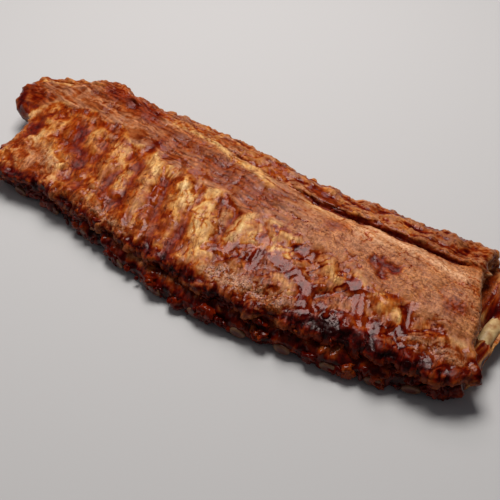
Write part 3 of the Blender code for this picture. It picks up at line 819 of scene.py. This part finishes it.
def meat_patterns(paint):
    """The fine patterns of the meat's paint: noise drawn out along the loin's fibres, or along the ribs."""
    swirl = paint.node("ShaderNodeTexNoise", {"Vector": paint.place, "Scale": 55, "Detail": 2})
    sway = {0: swirl.outputs["Color"], 1: (SWAY, SWAY, SWAY), 2: paint.place}
    swayed = paint.node("ShaderNodeVectorMath", sway, operation="MULTIPLY_ADD").outputs["Vector"]

    def drawn_out(scale, detail, stretch, turn):
        """Noise at the swayed places, turned about Z and then stretched."""
        turned = paint.node("ShaderNodeMapping", {"Vector": swayed, "Rotation": (0, 0, turn)})
        spread = paint.node("ShaderNodeMapping", {"Vector": turned.outputs["Vector"], "Scale": stretch})
        return paint.speckle(scale, detail, spread.outputs["Vector"])

    def grown(scale, detail, loin, rib):
        """Noise drawn out along the loin, and along the ribs in the rib field."""
        return paint.blend(paint.field("rib_field"), drawn_out(scale, detail, (loin, 1, 0.6), LOIN_TURN),
                           drawn_out(scale, detail, (1, rib, 0.6), RIB_TURN))

    loin_grain = drawn_out(460, 4, (0.08, 1, 0.6), LOIN_TURN)
    crust_grain = drawn_out(700, 4, (0.7, 1, 0.8), LOIN_TURN)
    rib_grain = drawn_out(560, 4, (1, 0.18, 0.6), RIB_GRAIN_TURN)
    grain = paint.blend(paint.field("dry"), loin_grain, crust_grain)
    grain = paint.blend(paint.field("rib_field"), grain, rib_grain)

    # Fine lines run where a noise passes its middle, 0.5, and are broken off in places. They are thin
    # creases, and the meat's colour is darkened in them as painted shade.
    swells = {0: grown(190, 3, 0.45, 0.35), 1: 0.5}
    swell = paint.node("ShaderNodeMath", swells, operation="SUBTRACT").outputs[0]
    away = paint.node("ShaderNodeMath", {0: swell}, operation="ABSOLUTE").outputs[0]
    broken = paint.ranged(paint.speckle(60, 3), 0.44, 0.52, 1.0, 0.0)
    lines = {0: paint.ranged(away, 0.002, 0.016), 1: broken}
    return SimpleNamespace(
        grain=grain,
        streak=paint.ranged(grain, 0.36, 0.64),
        mottle=paint.ranged(grown(150, 5, 0.30, 0.28), 0.36, 0.64),
        fine=paint.ranged(paint.speckle(900, 2), 0.34, 0.62),
        rough=paint.ranged(paint.speckle(70, 3), 0.44, 0.60),
        band=paint.ranged(drawn_out(240, 3, (0.07, 1, 0.6), LOIN_TURN), 0.38, 0.60),
        roast=paint.ranged(grown(38, 3, 0.4, 0.6), 0.48, 0.62, 0, 0.75),
        sinew=paint.ranged(grown(430, 3, 0.35, 0.25), 0.36, 0.60),
        fleck=paint.ranged(paint.speckle(520, 3), 0.38, 0.60),
        off_line=paint.node("ShaderNodeMath", lines, operation="MAXIMUM").outputs[0])


def bare_meat(paint, pattern):
    """The meat's colour without sauce: lean, crusted, amber, fat or crumbly, with its grooves and grit."""
    field, blend, ranged = paint.field, paint.blend, paint.ranged
    lean = blend(pattern.band, blend(pattern.mottle, *LEAN), LEAN_BAND)
    lean = blend(ranged(pattern.streak, 0, 1, 0.3, 1), LEAN_GROOVE, lean)
    crust = blend(ranged(paint.speckle(45, 3), 0.4, 0.62), blend(pattern.mottle, *CRUST), CRUST_PATCH)
    crust = blend(pattern.roast, crust, CRUST_ROAST)
    crust = blend(ranged(pattern.streak, 0, 0.6, 0.5, 1), CRUST_GROOVE, crust)
    crust = blend(ranged(pattern.fine, 0, 0.8, 0.42, 1), CRUST_GRIT, crust)
    amber = blend(ranged(pattern.streak, 0, 1, 0.5, 1), AMBER_GROOVE, blend(pattern.mottle, *AMBER))
    fat = blend(ranged(pattern.streak, 0, 1, 0.6, 1), FAT_GROOVE, blend(pattern.mottle, *FAT))
    fat = blend(ranged(pattern.fine, 0, 0.6, 0.75, 1), FAT_GRIT, fat)
    fat = blend(field("dry"), fat, blend(pattern.streak, *PALE_FAT))
    meat = blend(field("amber"), blend(field("dry"), lean, crust), amber)
    meat = blend(field("cream"), meat, fat)
    meat = blend(field("crumbly"), meat, blend(pattern.fine, *CRUMB))
    # Painted shade: the meat's colour is darkened along the fine crease lines.
    meat = blend(pattern.off_line, blend(1.0, meat, CREASE_SHADE_TINT, "MULTIPLY"), meat)
    sinewy = blend(1.0, meat, blend(pattern.sinew, *SINEW_TINTS), "MULTIPLY")
    meat = blend(ranged(pattern.rough, 0, 1, 0.25, 1.0), meat, sinewy)
    return blend(1.0, meat, blend(pattern.fleck, *FLECK_TINTS), "MULTIPLY")


def glazed_meat():
    """Browned pork under a sauce glaze.

    The meat's colour is multiplied by what the sauce lets through: exp(-k * depth) for each of red, green
    and blue.
    """
    paint = Paint("glazed meat")
    pattern = meat_patterns(paint)
    sauce, wet = paint.field("sauce"), paint.field("wet")
    through = paint.node("ShaderNodeValToRGB", {"Fac": paint.ranged(sauce, 0, GLAZE_DEEPEST)})
    through.color_ramp.elements.remove(through.color_ramp.elements[1])
    through.color_ramp.elements[0].color = (1, 1, 1, 1)
    for share in GLAZE_STOPS:
        let_through = np.exp(-np.array(GLAZE_BLOCKS) * share * GLAZE_DEEPEST)
        through.color_ramp.elements.new(share).color = (*let_through, 1)
    colour = paint.blend(1.0, bare_meat(paint, pattern), through.outputs["Color"], "MULTIPLY")

    glints = paint.blend(0.5, paint.speckle(400, 1), pattern.off_line)
    height = paint.blend(paint.ranged(sauce, 0.0, 0.5, 0.4, 1.0), pattern.grain, glints)
    bumps = {"Strength": paint.ranged(wet, 0.0, 1.2, 0.65, 0.12), "Distance": 0.0010, "Height": height}
    return paint.finished({
        "Base Color": colour,
        "Roughness": paint.ranged(wet, 0.0, 0.5, 0.44, 0.11),
        "Normal": paint.node("ShaderNodeBump", bumps).outputs["Normal"],
        "Specular IOR Level": GLINT,
        "Specular Tint": GLINT_TINT,
    })


GLAZED_MEAT = glazed_meat()


def meat_piece(name, made):
    """One layer of the meat as an object of the shown model."""
    piece = ring_object(name, *made)
    piece.data.materials.append(GLAZED_MEAT)
    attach(piece, "root")
    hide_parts("meat")
    return piece


meat_piece("meat_side", meat_side())

# ---- The bone side -------------------------------------------------------------------------------------
# The lower layer: the glossy rib tips along the front, the arched underside with its membrane drawn over
# the ribs, and the chine along the back, where the rack stands. It is the same pork, wet with sauce, which
# lies deep and dark on the rib tips' front, partly as painted shade under the lip.

# X of the right end for each Y: the last rib lies bare there, where the meat has drawn back from it.
LOWER_END = ((-0.052, 0.2105), (-0.015, 0.2165), (0.010, 0.2205), (0.040, 0.2215), (0.068, 0.219))
LEFT_UNDERCUT = 0.009
BARED_DEPTH = 0.009
BONE_SIDE_SLICES = 420
# A rib tip shows as an oval on the front: half its width in m, and its middle and half its height in mm.
TIP_HALF_WIDTH = 0.0055
TIP_MIDDLE = 6.4
TIP_HALF_HEIGHT = 4.2


def bone_side_form():
    """The lower layer's smooth form, which meets the top layer inside the recess and low along the back."""
    t, shrink = slice_rows(BONE_SIDE_SLICES)
    foot, lip, back, _, share = outlines(t)
    loin_z = LOIN_HEIGHT * share
    inner = np.maximum(foot, lip)
    front_face = (
        ((0.25 * back + 0.75 * foot + 0.004, 0.75 * ARCH_RISE, 1), 22),
        ((foot + 0.017, 0, 1), 13),
        ((foot + 0.004, 0, 1), 8),
        ((foot, 0.005, 1), 10),
        ((foot + 0.001, 0.0115, 1), 10),
    )
    inside = (
        ((inner + 0.004, 0.0175 * share, 1), 8),
        ((inner + 0.013, 0.0205 * share, 0), 4),
        ((0.5 * back + 0.5 * foot, 0.0215 * share, 0), 4),
        ((back - 0.010, 0.50 * loin_z, 0), 4),
    )
    back_face = (
        ((back - 0.0015, 0.42 * loin_z, 0.7), 9),
        ((back, 0.28 * loin_z, 1), 10),
        ((back - 0.004, 0.003, 1), 5),
        ((back - 0.007, 0, 1), 10),
    )
    arch = (
        ((back - 0.022, 0, 1), 16),
        ((0.75 * back + 0.25 * foot - 0.004, 0.75 * ARCH_RISE, 1), 32),
        ((0.5 * back + 0.5 * foot, ARCH_RISE, 1), 32),
    )
    loops = loops_through(front_face + inside + back_face + arch, t)
    y, z = drawn_in(loops, t, shrink, core_in=(0.018, 0.018))
    near_left, near_right = near_ends(t)
    x = START + (STOP - START) * t[:, None] - SLICE_SLANT * y
    x = x + near_left * (follow(LEFT_FLAP, y) + LEFT_UNDERCUT)
    x = x + near_right * (follow(LOWER_END, y) - (STOP - SLICE_SLANT * y))
    return surface(x, y, z, np.maximum(np.clip(loops[..., 2], 0, 1), step_up(0.2, 0.5, near_right)))


def bone_side():
    """The lower layer as rings of points, and its fields: lumps and creases that leave the rib tips clear."""
    at = bone_side_form()
    front = step_up(0.2, 0.8, -at.out[..., 1]) * step_up(40, 20, at.y)
    under = step_up(0.3, 0.9, -at.out[..., 2])
    end = step_up(196, 202, at.x) * (1 - under)
    elsewhere = (1 - front) * (1 - under)
    off_floor = step_up(0.3, 3.0, at.height)
    tips = front * hump(at.aside, TIP_HALF_WIDTH, 4) * hump(at.height - TIP_MIDDLE, TIP_HALF_HEIGHT, 4)

    along_rib = np.stack([at.x + 0.34 * at.y + 2 * noise(at.mm / 14, 6), at.y, at.height], -1)
    rib_fibre = layered(along_rib / (3.0, 20, 6), 131, 3)
    lumps = layered(at.mm / 9, 141, 3)
    creases = creased(at.mm / (10, 12, 9), 161, 3) - 0.3
    sinew = layered(at.mm / (3, 4, 14), 172, 3)
    relief = added_up((
        (front, 4.4, at.over_rib),
        (front, -2.4, 1),
        (front, 3.4, creases),
        (front, 2.4, lumps),
        (front, 1.5, layered(at.mm / 4.5, 151, 3)),
    ))
    relief -= 0.9 * tips * np.maximum(relief - 1.4, 0)
    relief += added_up((
        (under * off_floor, 1.6, at.over_rib),
        (under * off_floor, 0.35, rib_fibre),
        (under * off_floor, 0.5, lumps),
        (elsewhere, 0.8, lumps),
        (elsewhere, 1.0, creases),
        (end, 2.2, lumps),
        (end, 2.4, creases),
        (end, 1.2, sinew),
        (end, 0.9, layered(at.mm / 4, 171, 2)),
    ))
    relief = np.minimum(relief, np.where(under > 0.3, at.height * 0.8, 9)) * at.outside

    thick = 0.3 + 0.7 * step_up(0.0, 0.5, layered(at.mm / 10, 181, 3))
    thick += 0.3 * front - 0.9 * tips - 0.2 * under + end * (0.3 * step_up(14, 22, at.y) - 0.6)
    points, sauce = glazed(at, relief, thick * (0.2 + 0.8 * off_floor))
    bared = step_up(203, 208, at.x) * step_up(8, 11, at.height)
    bared = bared * hump(at.y - 6 + 4 * lumps + 1.5 * noise(at.mm / 3, 173), 14, 4)
    points -= at.out * (BARED_DEPTH * bared)[..., None]
    points[..., 2] = np.maximum(points[..., 2], 0)

    # The rib tips' front takes deep sauce: partly sauce, partly painted shade under the lip.
    sauce = sauce + front * (1.9 + 1.4 * layered(at.mm / 7, 152, 2)) + 0.9 * end * step_up(0.3, -0.3, sinew)
    membrane = 0.35 * under * step_up(0.2, 0.8, at.over_rib + 0.4 * rib_fibre)
    fat = 0.7 * end * step_up(4, -2, at.y) * step_up(-0.2, 0.5, lumps)
    cream = np.maximum(membrane + fat, 0.5 * end * step_up(0.2, 0.6, sinew))
    amber = np.maximum(under, 0.5 * end)
    return points, meat_fields(sauce, wet=sauce * (1 - 0.7 * end), cream=cream, amber=amber, rib_field=1)


meat_piece("bone_side", bone_side())

# ---- The bones -----------------------------------------------------------------------------------------
# Twelve rib bones run through the meat from the tips to the chine. Each is a flattened oval of ivory bone,
# sawn off at both ends, where the red marrow shows inside the hard rim.
BONE_WIDTH = 0.0120
BONE_DEPTH = 0.0076
BONE_COVER = 0.0026
BONE_PROUD = 0.0008
BONE_DOME = 0.0012
BONE_WEAR = 0.00025
BONE_TAPER = 0.18
BONE_WAIST = 0.06
CHINE_INSET = 0.0028
TIP_BULGE = 0.0028
KEEL_BULGE = 0.0022
# The share of a bone that lies level at each end, and the power that makes the arch between them fuller.
LEVEL_SHARE = 0.1
ARCH_POWER = 0.7
BONE_RINGS = 60
BONE_SIDES = 28
DOME_RINGS = np.array([0.12, 0.45, 0.72, 0.90])
BONE_STAIN = (0.36, 0.17, 0.06)
IVORY = (0.66, 0.46, 0.21)
MARROW = (0.09, 0.015, 0.008)


def edge_crossed(stops, t, drift):
    """Where a bone's line crosses an edge of the rack, as Y, and the edge's slope there, Y per metre of X."""
    at = t - drift * follow(stops, t)
    near = 0.01
    rise = follow(stops, at + near) - follow(stops, at - near)
    return follow(stops, at), rise / (2 * near * (STOP - START))


def rib_bone(index):
    """One bone as rings of points, each sheared so that the sawn ends lie along the rack's edges.

    A ring is an oval across the bone, and the rings follow the arch of the bone side. Both ends are domed:
    a ring with the share r of the full radius lies out by the dome's height times sqrt(1 - r^2).
    """
    place = RIB_PLACES[index]
    slant = follow(RIB_FAN, index / (len(RIB_PLACES) - 1)).item()
    t = (place - START) / (STOP - START)
    drift = (slant - SLICE_SLANT) / (STOP - START)
    front, front_turn = edge_crossed(FRONT_FOOT, t, drift)
    back, back_turn = edge_crossed(BACK_EDGE, t, drift)
    rounded_off = END_ROUNDING * step_up(0.95, 1, t)
    front, back = front - TIP_BULGE - BONE_PROUD + rounded_off, back - CHINE_INSET - rounded_off

    dome = BONE_DOME * np.sqrt(1 - DOME_RINGS ** 2)
    out_of_row = np.concatenate([BONE_DOME - dome, [BONE_DOME], np.zeros(BONE_RINGS - 1), dome[::-1]])
    radius = np.concatenate([DOME_RINGS, np.ones(BONE_RINGS), DOME_RINGS[::-1]])
    row = np.clip(np.arange(len(radius)) - len(DOME_RINGS), 0, BONE_RINGS - 1)
    along = np.linspace(0, 1, BONE_RINGS)[row]
    y = front + (back - front) * along + out_of_row
    turn = front_turn + (back_turn - front_turn) * along
    over_arch = np.clip((along - LEVEL_SHARE) / (1 - 2 * LEVEL_SHARE), 0, 1)
    arch = ARCH_RISE * np.sin(np.pi * over_arch) ** ARCH_POWER
    z = BONE_COVER + BONE_DEPTH / 2 + np.maximum(arch - KEEL_BULGE, 0)

    angle = 2 * np.pi * np.arange(BONE_SIDES) / BONE_SIDES
    half_width = BONE_WIDTH / 2 * (1 - BONE_TAPER * along) * radius
    half_depth = BONE_DEPTH / 2 * (1 - BONE_WAIST * np.sin(np.pi * along)) * radius
    aside = half_width[:, None] * np.cos(angle)
    points = np.stack([(place - slant * y)[:, None] + aside - CENTRE[0],
                       y[:, None] + turn[:, None] * aside - CENTRE[1],
                       z[:, None] + half_depth[:, None] * np.sin(angle)], -1)
    worn = BONE_WEAR * layered(points * 1000 / 6 + 7 * index, 201, 3) * (radius == 1)[:, None]
    # Sauce soaks the outer end of a tip nearly as dark as the marrow.
    marrow = np.maximum(step_up(0.85, 0.65, radius), 0.84 * step_up(0.08, 0.02, along))[:, None]
    return points + ring_normals(points) * worn[..., None], {"marrow": np.repeat(marrow, BONE_SIDES, axis=1)}


def bone_paint():
    """Roasted bone: ivory, stained brown in patches, with dark red marrow in the sawn ends."""
    paint = Paint("rib bone")
    ivory = paint.blend(paint.ranged(paint.speckle(160, 5), 0.38, 0.62), BONE_STAIN, IVORY)
    colour = paint.blend(paint.field("marrow"), ivory, MARROW)
    return paint.finished({"Base Color": colour, "Roughness": 0.35, "Specular IOR Level": 0.25})


RIB_BONE = bone_paint()
for index in range(len(RIB_PLACES)):
    bone = ring_object(f"rib_bone_{index + 1:02d}", *rib_bone(index))
    bone.data.materials.append(RIB_BONE)
    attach(bone, "root")
    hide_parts(f"rib_{index + 1:02d}")

# ---- The scraps ----------------------------------------------------------------------------------------
# Torn knobs of meat and drips of sauce along the front, on the rib tips and in the recess under the lip.
# They are the same meat and sauce, left ragged by the knife and the heat, and each is sunk a little into
# the front.

# How many there are, between which heights, and from which size to which: half of each lump along X, Y and Z.
KNOBS = 64
KNOB_HEIGHTS = (0.006, 0.021)
KNOB_SIZES = ((0.0035, 0.0025, 0.0022), (0.0085, 0.0045, 0.0052))
DRIPS = 40
DRIP_HEIGHTS = (0.004, 0.022)
DRIP_SIZES = ((0.0012, 0.0010, 0.0012), (0.0030, 0.0020, 0.0040))
DRIP_OUT = 0.0022
DRIP_DEPTH = 2.6
# Where they lie: the stretch of the front as t, the rib tips' top, and how far in the recess is. Each
# lump's form is cut from the noise somewhere else, within LUMPS_APART, and is turned by up to LUMP_TURN
# either way, in radians.
FRONT_STRETCH = (0.09, 0.96)
TIP_TOP = 0.012
RECESS_DEPTH = 0.0025
LUMPS_APART = 9.0
LUMP_TURN = 0.9
POLE_GAP = 0.12
SHAPES = np.random.default_rng(7)


def lumps_at(centres, sizes, rows, columns, rough, seed):
    """Closed lumps about the centres: unit spheres made uneven by noise, scaled, and turned about Z."""
    polar = np.linspace(POLE_GAP, np.pi - POLE_GAP, rows)[:, None]
    angle = 2 * np.pi * np.arange(columns) / columns
    across = np.sin(polar)
    ball = np.stack([-np.cos(polar) + 0 * angle, across * np.cos(angle), -across * np.sin(angle)], -1)
    moved = ball + LUMPS_APART * SHAPES.random((len(centres), 1, 1, 3))
    ball = ball * (1 + rough * layered(moved * 1.2, seed, 3))[..., None] * sizes[:, None, None, :]
    turn = SHAPES.uniform(-LUMP_TURN, LUMP_TURN, (len(centres), 1, 1))
    x = ball[..., 0] * np.cos(turn) - ball[..., 1] * np.sin(turn)
    y = ball[..., 0] * np.sin(turn) + ball[..., 1] * np.cos(turn)
    return centres[:, None, None, :] + np.stack([x, y, ball[..., 2]], -1)


def front_places(count, heights):
    """Random places on the rack's front between two heights, on the rib tips or in the recess above them."""
    t = np.sort(SHAPES.uniform(*FRONT_STRETCH, count))
    z = SHAPES.uniform(*heights, count)
    foot, lip, _, _, _ = outlines(t)
    y = np.where(z < TIP_TOP, foot, np.maximum(foot, lip) + RECESS_DEPTH)
    return np.stack([START + (STOP - START) * t - SLICE_SLANT * y - CENTRE[0], y - CENTRE[1], z], -1)


def meat_knobs():
    """The knobs, each a grid of rings, and their fields. Each takes its own share of sauce and of amber."""
    places = front_places(KNOBS, KNOB_HEIGHTS)
    sizes = SHAPES.uniform(*KNOB_SIZES, (KNOBS, 3))
    knobs = lumps_at(places, sizes, rows=22, columns=26, rough=0.5, seed=401)
    # The knobs' deep sauce darkens them: partly sauce, partly painted shade in the recess under the lip.
    wet = 1.1 + 1.5 * SHAPES.random((KNOBS, 1, 1)) + 0.8 * layered(knobs * 1000 / 5, 411, 3)
    return knobs, meat_fields(np.clip(wet, 0, 3), wet=wet, amber=SHAPES.random((KNOBS, 1, 1)), rib_field=1)


def sauce_drips():
    """The drips, each a grid of rings, and their fields: sauce all through."""
    places = front_places(DRIPS, DRIP_HEIGHTS) + (0, -DRIP_OUT, 0)
    sizes = SHAPES.uniform(*DRIP_SIZES, (DRIPS, 3))
    drips = lumps_at(places, sizes, rows=12, columns=16, rough=0.25, seed=421)
    return drips, meat_fields(DRIP_DEPTH + 0 * drips[..., 0], wet=DRIP_DEPTH)


for name, made in (("meat_knobs", meat_knobs()), ("sauce_drips", sauce_drips())):
    piece = ring_object(name, *made)
    piece.data.materials.append(GLAZED_MEAT)
    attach(piece, "root")
